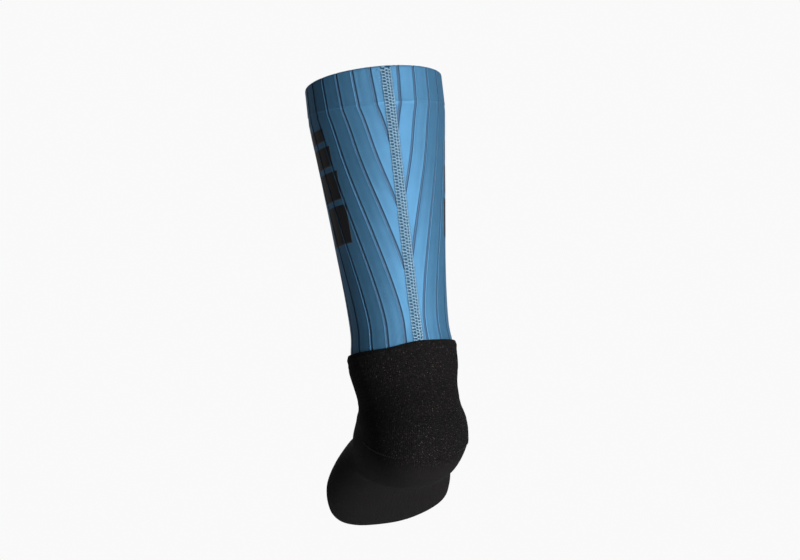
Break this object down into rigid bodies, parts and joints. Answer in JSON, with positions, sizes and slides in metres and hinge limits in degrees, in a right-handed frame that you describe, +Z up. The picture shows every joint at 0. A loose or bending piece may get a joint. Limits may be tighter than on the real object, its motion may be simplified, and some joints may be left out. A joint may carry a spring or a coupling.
{
  "type": "sports sock",
  "caption": "Tall aero cycling sock in its worn shape: ribbed close-fitting leg with a taped back seam and silicone gripper, joined to a knitted foot that flexes at the ankle.",
  "frame": {"origin": "centre of the leg opening, at the upper edge of the silicone gripper", "axes": "+Z up along the leg and out of the opening, toes towards -Y, heel and back seam towards +Y, +X to the inner (big toe) side of a right foot"},
  "size_m": [0.097, 0.2563, 0.31],
  "materials": {
    "aero_fabric": "smooth ribbed polyamide-elastane knit with a soft sheen",
    "bond_film": "thin translucent adhesive film",
    "gripper_silicone": "clear printed silicone, satin",
    "seam_thread": "grey-blue textured polyamide thread",
    "print_ink": "matt black transfer print",
    "collar_knit": "black dense terry knit with a little lint",
    "heel_knit": "black terry knit with a little lint",
    "instep_knit": "black plain knit, smoother than the heel",
    "sole_knit": "black terry knit",
    "toe_knit": "black dense knit",
    "dark_thread": "black overlock and linking thread"
  },
  "bodies": {
    "leg": {"upper_panel": "aero_fabric", "cuff_hem_fold": "aero_fabric", "hem_bond_film": "bond_film", "silicone_gripper": "gripper_silicone", "back_seam_needle_threads": "seam_thread", "back_seam_cover_threads": "seam_thread", "back_seam_looper_threads": "seam_thread", "side_print_medial": "print_ink", "side_print_lateral": "print_ink", "join_seam_allowance": "collar_knit", "join_overlock_thread": "dark_thread", "ankle_cuff": "collar_knit", "ankle_flex_panel": "heel_knit"},
    "foot": {"heel_pocket": "heel_knit", "heel_suture_medial": "dark_thread", "heel_suture_lateral": "dark_thread", "instep_panel": "instep_knit", "sole_cushion": "sole_knit", "toe_cap": "toe_knit", "toe_link_seam": "dark_thread"}
  },
  "joints": [
    {"name": "ankle_flex", "type": "hinge", "parent": "leg", "child": "foot", "pos_m": [0, -0.003, -0.208], "axis": [1, 0, 0], "range_deg": [-25, 35], "deforming": ["ankle_flex_panel"]}
  ]
}
